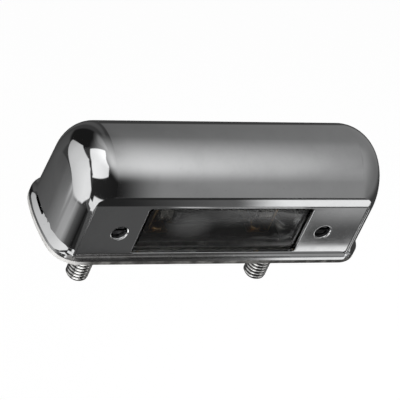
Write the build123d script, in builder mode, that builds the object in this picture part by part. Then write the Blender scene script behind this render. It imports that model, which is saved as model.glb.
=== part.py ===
from build123d import *
import math
import os

# Number plate lamp. Millimetres, +Z up. The origin lies on the underside of the base gasket,
# midway between the two mounting studs. The lit panel looks towards -Y.

# Hood: pressed sheet with a round back, chromed outside
sheet = 0.9
hood_length = 87.4
dome_radius = 14.2
dome_axis_height = 17.5
dome_axis_forward = 2.2
rear_draft = 5.2
end_radius = 8.7
end_bow = 50.0
flange_width = 1.1
flare_radius = 4.5
flange_front_corner = 7.0

# Recessed front panel with the window, the screw collars and the cove under the dome
lip_angle = 23.5
panel_setback = 0.55
panel_foot = 1.1
panel_foot_radius = 0.7
cove_height = 4.3
cove_overrun = 1.3
crease_radius = 0.4
recess_inset = 4.5
recess_corner_radius = 0.6
ridge_radius = 0.5
window_inset = 5.6
window_height = 15.65
window_sill = 2.95
window_corner = 0.8
window_lip_radius = 0.2
screw_inset = 10.1
screw_height = 10.1
collar_bore = 4.1
collar_wall = 0.6
collar_depth = 2.6
collar_lip_radius = 0.45
end_slot_length = 6.5
end_slot_width = 0.9
end_slot_height = 3.9
end_slot_back = 1.6

# Sealing pieces
gasket_thickness = 1.1
lens_gasket_thickness = 0.5
lens_gasket_margin = 0.8

# Lens
lens_thickness = 2.0
lens_overlap = 2.2
lens_foot_clearance = 0.2
pane_rise = 0.35
pane_margin = 1.3
ear_reach = 3.6
ear_height = 9.0
ear_corner = 1.8
collar_clearance = 0.2

# Base plate with two lugs bent up behind the lens ears
plate_thickness = 1.5
plate_clearance = 0.4
lug_width = 8.0
lug_rise = 4.2
lug_corner = 2.7
lug_bend_radius = 1.0
lug_relief = 0.6
plate_front_corner = 2.5

# Mounting studs, pressed into the base plate
stud_diameter = 6.0
stud_inset = 17.7
stud_length = 20.0
stud_tip_chamfer = 0.7
stud_shoulder_diameter = 7.2
stud_head_diameter = 9.5
stud_head_height = 1.4
stud_head_rounding = 0.45
stud_gasket_clearance = 0.25

# Slotted grub screws that pin the hood to the lugs
grub_diameter = 4.0
grub_length = 6.0
grub_depth = 1.3
grub_slot_width = 0.7
grub_slot_depth = 0.9
grub_chamfer = 0.35
lug_hole_clearance = 0.15

# Festoon bulb and what holds it
bulb_length = 36.0
bulb_height = 10.8
bulb_forward = 4.0
glass_diameter = 10.0
glass_wall = 0.6
neck_diameter = 7.0
neck_insertion = 2.6
cap_diameter = 8.2
cap_length = 5.4
cap_gap = 0.1
cap_cone_length = 1.9
cap_tip_diameter = 3.0
filament_length = 9.0
filament_diameter = 1.2
filament_wire = 0.4
board_thickness = 1.6
board_stud_clearance = 0.75
board_front = 9.0
board_back = 6.6
contact_thickness = 0.5
contact_width = 7.0
contact_corner = 2.3
contact_foot = 5.5
contact_rise = 4.2
contact_hole_clearance = 0.1
rivet_diameter = 2.5
rivet_head_diameter = 3.6
rivet_head_height = 0.8
rivet_head_rounding = 0.4
rivet_forward = 5.6
board_rivet_spacing = 15.0
terminal_back = 3.2
terminal_screw_diameter = 3.0
terminal_head_diameter = 5.4
terminal_head_height = 1.8
terminal_slot_width = 0.8
terminal_slot_depth = 0.8
terminal_washer_side = 5.6
terminal_washer_thickness = 0.8
fastener_clearance = 0.1

# Rubber grommet for the supply wire
grommet_bore = 5.0
grommet_wall = 1.6
grommet_lip = 1.2
grommet_lip_height = 1.4
grommet_under_lip = 0.8
grommet_rounding = 0.7
grommet_stud_clearance = 0.35
grommet_back = 3.0
grommet_clearance = 0.1

# Tolerance for picking edges and faces by their place, and for cuts that nearly touch
touch = 0.01

# Levels and planes worked out from the sizes above
seat = gasket_thickness
flange_top = seat + sheet
plate_top = seat + plate_thickness
board_top = plate_top + board_thickness
foot_top = board_top + contact_thickness
hood_half = hood_length / 2
recess_half = hood_half - recess_inset
screw_x = recess_half - screw_inset
window_length = 2 * (screw_x - window_inset)
stud_x = hood_half - stud_inset
stud_points = [(-stud_x, 0), (stud_x, 0)]
lip = math.radians(lip_angle)
draft = math.radians(rear_draft)
dome_y = -dome_axis_forward
crease_y = dome_y - dome_radius * math.cos(lip)
panel_y = crease_y + panel_setback
panel_back = panel_y + sheet
lens_front = panel_back + lens_gasket_thickness
lens_back = lens_front + lens_thickness
front_edge = panel_y - panel_foot
window_top = window_sill + window_height
window_middle = window_sill + window_height / 2
cove_radius = (cove_height**2 + panel_setback**2) / (2 * panel_setback)
crease_z = dome_axis_height + dome_radius * math.sin(lip)
cove_centre = (panel_y - cove_radius, crease_z - cove_height)
cove_sweep = cove_overrun * math.degrees(math.asin(cove_height / cove_radius))
below = seat - 2 * sheet
flare_floor = flange_top - flare_radius + math.sqrt(flare_radius**2 - (flare_radius - flange_width) ** 2)
recess_front = dome_y - 2 * dome_radius
screw_points = [(-screw_x, screw_height), (screw_x, screw_height)]
collar_diameter = collar_bore + 2 * collar_wall
ear_hole = collar_diameter + 2 * collar_clearance
bulb_y = -bulb_forward
cone_slope = (cap_diameter - cap_tip_diameter) / 2 / cap_cone_length
contact_x = bulb_length / 2 - cap_cone_length / 2
cone_at_contact = cap_tip_diameter / 2 + cone_slope * (bulb_length / 2 - contact_x)
rivet_x = contact_x - contact_foot / 2
rivet_points = [(-rivet_x, -rivet_forward), (rivet_x, -rivet_forward)]
terminal_points = [(-rivet_x, terminal_back), (rivet_x, terminal_back)]
board_rivet_x = board_rivet_spacing / 2
board_rivet_points = [(-board_rivet_x, terminal_back), (board_rivet_x, terminal_back)]
glass_shoulder = (glass_diameter - neck_diameter) / 2
shoulder_x = bulb_length / 2 - cap_length - cap_gap
neck_x = shoulder_x + neck_insertion
bulb_axis = Axis((0, bulb_y, bulb_height), (1, 0, 0))
board_half = stud_x - stud_head_diameter / 2 - board_stud_clearance
grommet_radius = grommet_bore / 2 + grommet_wall
grommet_lip_radius = grommet_radius + grommet_lip
grommet_x = stud_x + stud_head_diameter / 2 + grommet_stud_clearance + grommet_lip_radius


def rear_wall_y(height, inset):
    """Y of the sloping rear wall at a height, moved inwards by inset."""
    run = (dome_axis_height - height) * math.tan(draft)
    return dome_y + (dome_radius - inset) / math.cos(draft) + run


rear_edge = rear_wall_y(seat, 0) + flange_width


def front_plane(y):
    """Plane parallel to the panel, looking out of the lamp, with X across and Z up."""
    return Plane(origin=(0, y, 0), x_dir=(1, 0, 0), z_dir=(0, -1, 0))


def bowed_plan(reach, front, back):
    """Plan with straight sides and bowed ends, moved outwards by reach at its ends."""
    bow_x = hood_half - end_bow
    bow_radius = end_bow + reach
    near = bow_x + math.sqrt(bow_radius**2 - (front - dome_y) ** 2)
    far = bow_x + math.sqrt(bow_radius**2 - (back - dome_y) ** 2)
    with BuildSketch(mode=Mode.PRIVATE) as plan:
        with BuildLine():
            ThreePointArc((near, front), (bow_x + bow_radius, dome_y), (far, back))
            Line((far, back), (-far, back))
            ThreePointArc((-far, back), (-bow_x - bow_radius, dome_y), (-near, front))
            Line((-near, front), (near, front))
        make_face()
    return plan.sketch


def hood_form(inset, bottom):
    """Solid inside the hood's skin moved inwards by inset, down to the level bottom."""
    radius = dome_radius - inset
    front = dome_y - radius
    tangent = (dome_y + radius * math.cos(draft), dome_axis_height + radius * math.sin(draft))
    with BuildPart() as form:
        with BuildSketch(Plane.YZ):
            with BuildLine():
                CenterArc((dome_y, dome_axis_height), radius, rear_draft, 180 - rear_draft)
                Polyline(
                    (front, dome_axis_height),
                    (front, bottom),
                    (rear_wall_y(bottom, inset), bottom),
                    tangent,
                )
            make_face()
        extrude(amount=hood_length, both=True)
        with BuildSketch(Plane.XY.offset(bottom)):
            add(bowed_plan(-inset, dome_y - 2 * dome_radius, dome_y + 2 * dome_radius))
        extrude(amount=hood_length, mode=Mode.INTERSECT)
        along = form.faces().sort_by(Axis.X)
        end_edges = along[0].edges() + along[-1].edges()
        fillet(end_edges.filter_by(lambda edge: edge.center().Z > seat + sheet), end_radius - inset)
    return form.part


def recess_profile(inset, floor):
    """Section of the space in front of the panel, from its cove down to the points of floor."""
    with BuildSketch(mode=Mode.PRIVATE) as profile:
        with BuildLine():
            cove = CenterArc(cove_centre, cove_radius + inset, 0, cove_sweep)
            top = (cove @ 1).Y
            Polyline(cove @ 1, (recess_front, top), (recess_front, below), *floor, cove @ 0)
        make_face()
    return profile.sketch


def edge_waste(outer_centre, outer_radius, cut_centre, cut_radius, radius, turn):
    """What rounding takes off the edge where a round cut leaves a round body."""
    outer = Vector(*outer_centre)
    cut = Vector(*cut_centre)
    to_cut = cut - outer
    near = outer_radius - radius
    far = cut_radius + radius
    swing = math.acos((near**2 + to_cut.length**2 - far**2) / (2 * near * to_cut.length))
    outward = to_cut.normalized().rotate(Axis.Z, turn * math.degrees(swing))
    middle = outer + outward * near
    first = middle + outward * sheet
    last = middle + (cut - middle).normalized() * sheet
    with BuildSketch(mode=Mode.PRIVATE) as waste:
        with BuildLine():
            Polyline(middle, first, first + last - middle, last, middle)
        make_face()
        with Locations(middle):
            Circle(radius + touch / 2, mode=Mode.SUBTRACT)
    return waste.sketch


def foot_blank(inset):
    """Plan of the hood's foot before its front is trimmed, as a sketch on the XY plane."""
    reach = flange_width - inset
    front = dome_y - dome_radius - reach
    back = rear_edge - inset
    with BuildSketch(mode=Mode.PRIVATE) as blank:
        add(bowed_plan(reach, front, back))
        fillet(blank.vertices(), end_radius + reach)
    return blank.sketch


def foot_outline():
    """Plan of the flange and of the gasket under it, as a sketch on the XY plane."""
    depth = rear_edge - front_edge
    with BuildSketch(mode=Mode.PRIVATE) as outline:
        add(foot_blank(0))
        with Locations((0, front_edge + depth)):
            Rectangle(2 * hood_length, 2 * depth, mode=Mode.INTERSECT)
        fillet(outline.vertices().group_by(Axis.Y)[0], flange_front_corner)
    return outline.sketch


os.makedirs("parts", exist_ok=True)

# Hood: pressed from one sheet, with its foot flared out to a rim
with BuildPart() as panel_front:
    with BuildSketch(Plane.YZ) as section:
        add(recess_profile(0, [(front_edge, below), (front_edge, flange_top), (panel_y, flange_top)]))
        fillet(section.vertices().sort_by_distance((panel_y, flange_top))[0], panel_foot_radius)
    extrude(amount=recess_half, both=True)
    end_edges = panel_front.faces().filter_by(Plane.YZ).edges()
    rim = end_edges.filter_by(lambda edge: edge.center().Y > front_edge)
    fillet(rim.filter_by(lambda edge: edge.center().Z > flange_top + touch), recess_corner_radius)

# Rounds the crease between the dome and the cove
dome_centre = (dome_y, dome_axis_height)
with BuildPart() as crease_round:
    with BuildSketch(Plane.YZ):
        add(edge_waste(dome_centre, dome_radius, cove_centre, cove_radius, crease_radius, -1))
    extrude(amount=recess_half, both=True)

# Rounds the upright ridge at each end of the recess
core_radius = dome_radius - end_radius
end_run = math.sqrt((end_bow - end_radius) ** 2 - core_radius**2)
end_centre = (hood_half - end_bow + end_run, dome_y - core_radius)
corner_centre = (recess_half - recess_corner_radius, panel_y - recess_corner_radius)
with BuildPart() as ridge_round:
    with BuildSketch(Plane.XY.offset(flange_top + panel_foot_radius)):
        add(edge_waste(end_centre, end_radius, corner_centre, recess_corner_radius, ridge_radius, 1))
    extrude(amount=crease_z - flange_top - panel_foot_radius)
    mirror(about=Plane.YZ)

with BuildPart() as hood_hollow:
    add(hood_form(sheet, below))
    with BuildSketch(Plane.YZ):
        add(recess_profile(sheet, [(panel_back, below)]))
    extrude(amount=recess_half + sheet, both=True, mode=Mode.SUBTRACT)

hood_skin = hood_form(0, flare_floor - sheet)

with BuildPart() as hood:
    add(hood_skin)
    # the foot flares out in a wide curve, trimmed to the rim's outline
    with BuildSketch(Plane.XY.offset(flare_floor)):
        add(foot_blank(-flare_radius))
    extrude(amount=-sheet)
    ledge = hood.faces().filter_by(Plane.XY).filter_by(lambda face: len(face.inner_wires()) == 1)
    fillet(ledge.sort_by(Axis.Z)[-1].inner_wires()[0].edges(), flare_radius)
    with BuildSketch(Plane.XY.offset(seat)):
        add(foot_blank(-2 * flare_radius))
    extrude(amount=-2 * flare_radius, mode=Mode.SUBTRACT)
    with BuildSketch(Plane.XY.offset(seat)):
        add(foot_blank(-2 * flare_radius))
        add(foot_outline(), mode=Mode.SUBTRACT)
    extrude(amount=2 * flare_radius, mode=Mode.SUBTRACT)
    add(panel_front.part, mode=Mode.SUBTRACT)
    add(crease_round.part, mode=Mode.SUBTRACT)
    add(ridge_round.part, mode=Mode.SUBTRACT)
    add(hood_hollow.part, mode=Mode.SUBTRACT)
    # collars plunged inwards for the two screws
    with BuildSketch(front_plane(panel_back)):
        with Locations(*screw_points):
            Circle(collar_diameter / 2)
    extrude(amount=-(collar_depth - sheet))
    with BuildSketch(front_plane(panel_y)):
        with Locations(*screw_points):
            Circle(collar_bore / 2)
        with Locations((0, window_middle)):
            RectangleRounded(window_length, window_height, window_corner)
    extrude(amount=-2 * collar_depth, mode=Mode.SUBTRACT)
    on_panel = hood.edges().filter_by_position(Axis.Y, panel_y - touch, panel_y + touch)
    mouths = on_panel.filter_by(GeomType.CIRCLE).filter_by(lambda edge: edge.is_closed)
    fillet(mouths, collar_lip_radius)
    on_panel = hood.edges().filter_by_position(Axis.Y, panel_y - touch, panel_y + touch)
    at_window = on_panel.filter_by_position(Axis.X, -window_length / 2 - touch, window_length / 2 + touch)
    rims = at_window.filter_by_position(Axis.Z, window_sill - touch, window_top + touch)
    fillet(rims, window_lip_radius)
    # drain slot through each end wall, in the flare above the rim
    with BuildSketch(Plane.YZ):
        with Locations((end_slot_back, end_slot_height)):
            SlotOverall(end_slot_length, end_slot_width)
    extrude(amount=hood_length, both=True, mode=Mode.SUBTRACT)
hood.part.label = "hood"
export_step(hood.part, "parts/hood.step")

# Base gasket: a flat rubber sheet that seals the lamp against the car body
with BuildPart() as base_gasket:
    with BuildSketch():
        add(foot_outline())
        with Locations(*stud_points):
            Circle(stud_shoulder_diameter / 2 + stud_gasket_clearance, mode=Mode.SUBTRACT)
        with Locations((grommet_x, grommet_back)):
            Circle(grommet_lip_radius + grommet_clearance, mode=Mode.SUBTRACT)
    extrude(amount=gasket_thickness)
base_gasket.part.label = "base_gasket"
export_step(base_gasket.part, "parts/base_gasket.step")

# Base plate: steel, with two lugs bent up from its front edge
lug_front = lens_back
lug_back = lug_front + plate_thickness
bend_outer = lug_bend_radius + plate_thickness
lug_top = screw_height + lug_rise
plate_front = lug_front + plate_clearance

with BuildPart() as base_plate:
    with BuildSketch(Plane.XY.offset(seat)) as plate:
        add(foot_blank(flange_width + sheet + plate_clearance))
        with Locations((0, plate_front + hood_length / 2)):
            Rectangle(2 * hood_length, hood_length, mode=Mode.INTERSECT)
        fillet(plate.vertices().group_by(Axis.Y)[0], plate_front_corner)
        with Locations((-screw_x, plate_front), (screw_x, plate_front)):
            Rectangle(lug_width + 2 * lug_relief, 2 * (bend_outer + lug_relief), mode=Mode.SUBTRACT)
    extrude(amount=plate_thickness)
    with BuildSketch(Plane.YZ) as lug_section:
        with BuildLine():
            root = plate_front + bend_outer + lug_relief
            Polyline(
                (root, seat),
                (lug_front, seat),
                (lug_front, lug_top),
                (lug_back, lug_top),
                (lug_back, plate_top),
                (root, plate_top),
                (root, seat),
            )
        make_face()
        fillet(lug_section.vertices().sort_by_distance((lug_front, seat))[0], bend_outer)
        fillet(lug_section.vertices().sort_by_distance((lug_back, plate_top))[0], lug_bend_radius)
    for side in (-1, 1):
        lug = lug_section.sketch.moved(Location((side * screw_x, 0, 0)))
        extrude(lug, amount=lug_width / 2, both=True)
    at_top = base_plate.edges().filter_by_position(Axis.Z, lug_top - touch, lug_top + touch)
    fillet(at_top.filter_by(Axis.Y), lug_corner)
    with BuildSketch(front_plane(lug_front)):
        with Locations(*screw_points):
            Circle(grub_diameter / 2 + lug_hole_clearance)
    extrude(amount=-2 * plate_thickness, mode=Mode.SUBTRACT)
    with BuildSketch(Plane.XY.offset(seat)):
        with Locations(*stud_points):
            Circle(stud_shoulder_diameter / 2)
        with Locations((grommet_x, grommet_back)):
            Circle(grommet_radius + grommet_clearance)
        with Locations(*rivet_points):
            Circle(rivet_head_diameter / 2 + plate_clearance)
        with Locations(*board_rivet_points):
            Circle(rivet_diameter / 2 + fastener_clearance)
    extrude(amount=plate_thickness, mode=Mode.SUBTRACT)
base_plate.part.label = "base_plate"
export_step(base_plate.part, "parts/base_plate.step")

# Lens: one flat clear plate with two ears, clamped behind the window
lens_foot = seat + lens_foot_clearance
lens_top = window_top + lens_overlap


def lens_outline():
    """Outline of the lens and of its gasket, with a hole for each collar, X across and Z up."""
    with BuildSketch(mode=Mode.PRIVATE) as outline:
        with Locations((0, (lens_foot + lens_top) / 2)):
            Rectangle(window_length + 2 * lens_overlap, lens_top - lens_foot)
        with Locations((0, screw_height)):
            RectangleRounded(2 * (screw_x + ear_reach), ear_height, ear_corner)
        with Locations(*screw_points):
            Circle(ear_hole / 2, mode=Mode.SUBTRACT)
    return outline.sketch


with BuildPart() as lens:
    with BuildSketch(front_plane(lens_front)):
        add(lens_outline())
    extrude(amount=-lens_thickness)
    with BuildSketch(front_plane(lens_front)):
        with Locations((0, window_middle)):
            RectangleRounded(
                window_length - 2 * pane_margin,
                window_height - 2 * pane_margin,
                window_corner,
            )
    extrude(amount=pane_rise)
lens.part.label = "lens"
export_step(lens.part, "parts/lens.step")

# Lens gasket: a thin rubber frame between the panel and the lens
with BuildPart() as lens_gasket:
    with BuildSketch(front_plane(lens_front)):
        add(lens_outline())
        with Locations((0, window_middle)):
            Rectangle(
                window_length + 2 * lens_gasket_margin,
                window_height + 2 * lens_gasket_margin,
                mode=Mode.SUBTRACT,
            )
    extrude(amount=lens_gasket_thickness)
lens_gasket.part.label = "lens_gasket"
export_step(lens_gasket.part, "parts/lens_gasket.step")

# Mounting studs: a head and a shoulder pressed into the plate, then the threaded shank
for name, side in (("stud_left", -1), ("stud_right", 1)):
    with BuildPart() as stud:
        with BuildSketch(Plane.XY):
            with Locations((side * stud_x, 0)):
                Circle(stud_diameter / 2)
        extrude(amount=-stud_length)
        chamfer(stud.edges().sort_by(Axis.Z)[0], stud_tip_chamfer)
        with BuildSketch(Plane.XY):
            with Locations((side * stud_x, 0)):
                Circle(stud_shoulder_diameter / 2)
        extrude(amount=plate_top)
        with BuildSketch(Plane.XY.offset(plate_top)):
            with Locations((side * stud_x, 0)):
                Circle(stud_head_diameter / 2)
        extrude(amount=stud_head_height)
        fillet(stud.edges().sort_by(Axis.Z)[-1], stud_head_rounding)
    stud.part.label = name
    export_step(stud.part, f"parts/{name}.step")

# Hood screws: slotted grub screws in the collars, reaching through the lugs
grub_front = panel_y + grub_depth
with BuildPart() as hood_screws:
    with BuildSketch(front_plane(grub_front)):
        with Locations(*screw_points):
            Circle(grub_diameter / 2)
    extrude(amount=-grub_length)
    chamfer(hood_screws.edges().filter_by(GeomType.CIRCLE), grub_chamfer)
    with BuildSketch(front_plane(grub_front)):
        with Locations(*screw_points):
            Rectangle(2 * grub_diameter, grub_slot_width)
    extrude(amount=-grub_slot_depth, mode=Mode.SUBTRACT)
hood_screws.part.label = "hood_screws"
export_step(hood_screws.part, "parts/hood_screws.step")

# Festoon bulb: a glass tube between two metal caps, with the filament on its axis
with BuildPart() as bulb_glass:
    with BuildSketch(front_plane(bulb_y)) as tube:
        with Locations((0, bulb_height + glass_diameter / 4)):
            Rectangle(2 * shoulder_x, glass_diameter / 2)
        fillet(tube.vertices().group_by(Axis.Y)[-1], glass_shoulder)
        with Locations((0, bulb_height + neck_diameter / 4)):
            Rectangle(2 * neck_x, neck_diameter / 2)
    revolve(axis=bulb_axis)
    with BuildSketch(front_plane(bulb_y)) as bore:
        inner_diameter = glass_diameter - 2 * glass_wall
        with Locations((0, bulb_height + inner_diameter / 4)):
            Rectangle(2 * (shoulder_x - glass_wall), inner_diameter / 2)
        fillet(bore.vertices().group_by(Axis.Y)[-1], glass_shoulder - glass_wall / 2)
        with Locations((0, bulb_height + neck_diameter / 4 - glass_wall / 2)):
            Rectangle(2 * neck_x, neck_diameter / 2 - glass_wall)
    revolve(axis=bulb_axis, mode=Mode.SUBTRACT)
bulb_glass.part.label = "bulb_glass"
export_step(bulb_glass.part, "parts/bulb_glass.step")

for name, side in (("bulb_cap_left", -1), ("bulb_cap_right", 1)):
    with BuildPart() as cap:
        with BuildSketch(front_plane(bulb_y)):
            with BuildLine():
                Polyline(
                    (side * (shoulder_x + cap_gap), bulb_height + neck_diameter / 2 + cap_gap),
                    (side * (shoulder_x + cap_gap), bulb_height + cap_diameter / 2),
                    (side * (bulb_length / 2 - cap_cone_length), bulb_height + cap_diameter / 2),
                    (side * bulb_length / 2, bulb_height + cap_tip_diameter / 2),
                    (side * bulb_length / 2, bulb_height),
                    (side * (neck_x + cap_gap), bulb_height),
                    (side * (neck_x + cap_gap), bulb_height + neck_diameter / 2 + cap_gap),
                    (side * (shoulder_x + cap_gap), bulb_height + neck_diameter / 2 + cap_gap),
                )
            make_face()
        revolve(axis=bulb_axis)
    cap.part.label = name
    export_step(cap.part, f"parts/{name}.step")

with BuildPart() as bulb_filament:
    with BuildSketch(front_plane(bulb_y)):
        with Locations((0, bulb_height + filament_wire / 4)):
            Rectangle(2 * (neck_x + cap_gap), filament_wire / 2)
        with Locations((0, bulb_height + filament_diameter / 4)):
            Rectangle(filament_length, filament_diameter / 2)
    revolve(axis=bulb_axis)
bulb_filament.part.label = "bulb_filament"
export_step(bulb_filament.part, "parts/bulb_filament.step")

# Insulator board: fibre, riveted to the base plate, carries both contacts
with BuildPart() as insulator_board:
    with BuildSketch(Plane.XY.offset(plate_top)):
        with Locations((0, (board_back - board_front) / 2)):
            Rectangle(2 * board_half, board_back + board_front)
        with Locations(*rivet_points):
            Circle(rivet_diameter / 2 + fastener_clearance, mode=Mode.SUBTRACT)
        with Locations(*board_rivet_points):
            Circle(rivet_diameter / 2 + fastener_clearance, mode=Mode.SUBTRACT)
        with Locations(*terminal_points):
            Circle(terminal_screw_diameter / 2 + fastener_clearance, mode=Mode.SUBTRACT)
    extrude(amount=board_thickness)
insulator_board.part.label = "insulator_board"
export_step(insulator_board.part, "parts/insulator_board.step")

# Contacts: brass strips, each with an upright that holds one end of the bulb and a terminal foot
contact_top = bulb_height + contact_rise
foot_front = bulb_y - contact_width / 2
foot_back = terminal_back + terminal_washer_side / 2
contact_length = contact_foot + contact_thickness
foot_x = contact_x + contact_thickness - contact_length / 2
for name, side in (("live_contact", -1), ("earth_contact", 1)):
    with BuildPart() as contact:
        with BuildSketch(Plane.XY.offset(board_top)):
            with Locations((side * foot_x, (foot_front + foot_back) / 2)):
                Rectangle(contact_length, foot_back - foot_front)
            with Locations((side * rivet_x, -rivet_forward)):
                Circle(rivet_diameter / 2 + fastener_clearance, mode=Mode.SUBTRACT)
            with Locations((side * rivet_x, terminal_back)):
                Circle(terminal_screw_diameter / 2 + fastener_clearance, mode=Mode.SUBTRACT)
        extrude(amount=contact_thickness)
        with BuildSketch(Plane.YZ.offset(side * contact_x)) as upright:
            with Locations((bulb_y, (board_top + contact_top) / 2)):
                Rectangle(contact_width, contact_top - board_top)
            fillet(upright.vertices().group_by(Axis.Y)[-1], contact_corner)
            with Locations((bulb_y, bulb_height)):
                Circle(cone_at_contact + contact_hole_clearance, mode=Mode.SUBTRACT)
        extrude(amount=side * contact_thickness)
        across = contact.edges().filter_by(Axis.Y)
        bend = across.sort_by_distance((side * contact_x, bulb_y, foot_top))[0]
        fillet(bend, contact_thickness)
    contact.part.label = name
    export_step(contact.part, f"parts/{name}.step")

# Rivets: two hold the contacts on the board, two hold the board on the plate
with BuildPart() as contact_rivets:
    with BuildSketch(Plane.XY.offset(plate_top - rivet_head_height)):
        with Locations(*rivet_points):
            Circle(rivet_head_diameter / 2)
    extrude(amount=rivet_head_height)
    with BuildSketch(Plane.XY.offset(plate_top)):
        with Locations(*rivet_points):
            Circle(rivet_diameter / 2)
    extrude(amount=foot_top - plate_top)
    with BuildSketch(Plane.XY.offset(foot_top)):
        with Locations(*rivet_points):
            Circle(rivet_head_diameter / 2)
    extrude(amount=rivet_head_height)
    fillet(contact_rivets.edges().group_by(Axis.Z)[-1], rivet_head_rounding)
contact_rivets.part.label = "contact_rivets"
export_step(contact_rivets.part, "parts/contact_rivets.step")

with BuildPart() as board_rivets:
    with BuildSketch(Plane.XY.offset(seat)):
        with Locations(*board_rivet_points):
            Circle(rivet_diameter / 2)
    extrude(amount=board_top - seat)
    with BuildSketch(Plane.XY.offset(board_top)):
        with Locations(*board_rivet_points):
            Circle(rivet_head_diameter / 2)
    extrude(amount=rivet_head_height)
    fillet(board_rivets.edges().group_by(Axis.Z)[-1], rivet_head_rounding)
board_rivets.part.label = "board_rivets"
export_step(board_rivets.part, "parts/board_rivets.step")

# Terminals: a cheese-head screw and a square washer on each contact's foot
washer_top = foot_top + terminal_washer_thickness
with BuildPart() as terminal_washers:
    with BuildSketch(Plane.XY.offset(foot_top)):
        with Locations(*terminal_points):
            Rectangle(terminal_washer_side, terminal_washer_side)
            Circle(terminal_screw_diameter / 2 + fastener_clearance, mode=Mode.SUBTRACT)
    extrude(amount=terminal_washer_thickness)
terminal_washers.part.label = "terminal_washers"
export_step(terminal_washers.part, "parts/terminal_washers.step")

with BuildPart() as terminal_screws:
    with BuildSketch(Plane.XY.offset(plate_top + fastener_clearance)):
        with Locations(*terminal_points):
            Circle(terminal_screw_diameter / 2)
    extrude(amount=washer_top - plate_top - fastener_clearance)
    with BuildSketch(Plane.XY.offset(washer_top)):
        with Locations(*terminal_points):
            Circle(terminal_head_diameter / 2)
    extrude(amount=terminal_head_height)
    with BuildSketch(Plane.XY.offset(washer_top + terminal_head_height)):
        with Locations(*terminal_points):
            Rectangle(2 * terminal_head_diameter, terminal_slot_width)
    extrude(amount=-terminal_slot_depth, mode=Mode.SUBTRACT)
terminal_screws.part.label = "terminal_screws"
export_step(terminal_screws.part, "parts/terminal_screws.step")

# Cable grommet: rubber, snapped into the base plate
with BuildPart() as cable_grommet:
    with BuildSketch(Plane.XY.offset(seat - grommet_under_lip)):
        with Locations((grommet_x, grommet_back)):
            Circle(grommet_lip_radius)
    extrude(amount=grommet_under_lip)
    with BuildSketch(Plane.XY.offset(seat)):
        with Locations((grommet_x, grommet_back)):
            Circle(grommet_radius)
    extrude(amount=plate_thickness)
    with BuildSketch(Plane.XY.offset(plate_top)):
        with Locations((grommet_x, grommet_back)):
            Circle(grommet_lip_radius)
    extrude(amount=grommet_lip_height)
    fillet(cable_grommet.edges().sort_by(Axis.Z)[-1], grommet_rounding)
    with BuildSketch(Plane.XY):
        with Locations((grommet_x, grommet_back)):
            Circle(grommet_bore / 2)
    extrude(amount=plate_top + 2 * grommet_lip_height, mode=Mode.SUBTRACT)
cable_grommet.part.label = "cable_grommet"
export_step(cable_grommet.part, "parts/cable_grommet.step")
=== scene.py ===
import math

import bmesh
import bpy
from mathutils import Matrix, Vector


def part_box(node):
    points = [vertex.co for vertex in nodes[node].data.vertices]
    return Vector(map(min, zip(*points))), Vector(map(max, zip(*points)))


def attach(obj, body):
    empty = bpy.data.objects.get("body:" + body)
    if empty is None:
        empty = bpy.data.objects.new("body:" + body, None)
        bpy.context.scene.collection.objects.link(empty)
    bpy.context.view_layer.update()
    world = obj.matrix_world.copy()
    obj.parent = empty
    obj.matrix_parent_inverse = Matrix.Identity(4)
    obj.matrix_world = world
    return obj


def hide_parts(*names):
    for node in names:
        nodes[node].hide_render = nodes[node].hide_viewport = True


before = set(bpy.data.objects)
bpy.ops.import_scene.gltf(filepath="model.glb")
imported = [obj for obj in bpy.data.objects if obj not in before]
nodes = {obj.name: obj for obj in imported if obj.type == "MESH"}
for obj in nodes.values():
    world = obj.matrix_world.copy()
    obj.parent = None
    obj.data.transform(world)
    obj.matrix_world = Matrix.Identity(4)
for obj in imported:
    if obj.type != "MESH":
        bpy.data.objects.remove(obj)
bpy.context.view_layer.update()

# Base plate: pressed mild steel with two lugs bent up behind the lens, zinc plated. It rests
# on the base gasket inside the hood's foot and carries the studs and the bulb's board.
MM = 0.001


class Wire:
    """A shader value. Arithmetic on it adds Math nodes to its finish."""

    def __init__(self, finish, socket):
        self.finish = finish
        self.socket = socket

    def __add__(self, other):
        return self.finish.math("ADD", self, other)

    def __sub__(self, other):
        return self.finish.math("SUBTRACT", self, other)

    def __mul__(self, other):
        return self.finish.math("MULTIPLY", self, other)

    def __truediv__(self, other):
        return self.finish.math("DIVIDE", self, other)

    def __pow__(self, other):
        return self.finish.math("POWER", self, other)

    def __rsub__(self, other):
        return self.finish.math("SUBTRACT", other, self)

    def __rtruediv__(self, other):
        return self.finish.math("DIVIDE", other, self)

    def __rpow__(self, other):
        return self.finish.math("POWER", other, self)

    __radd__ = __add__
    __rmul__ = __mul__


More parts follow.
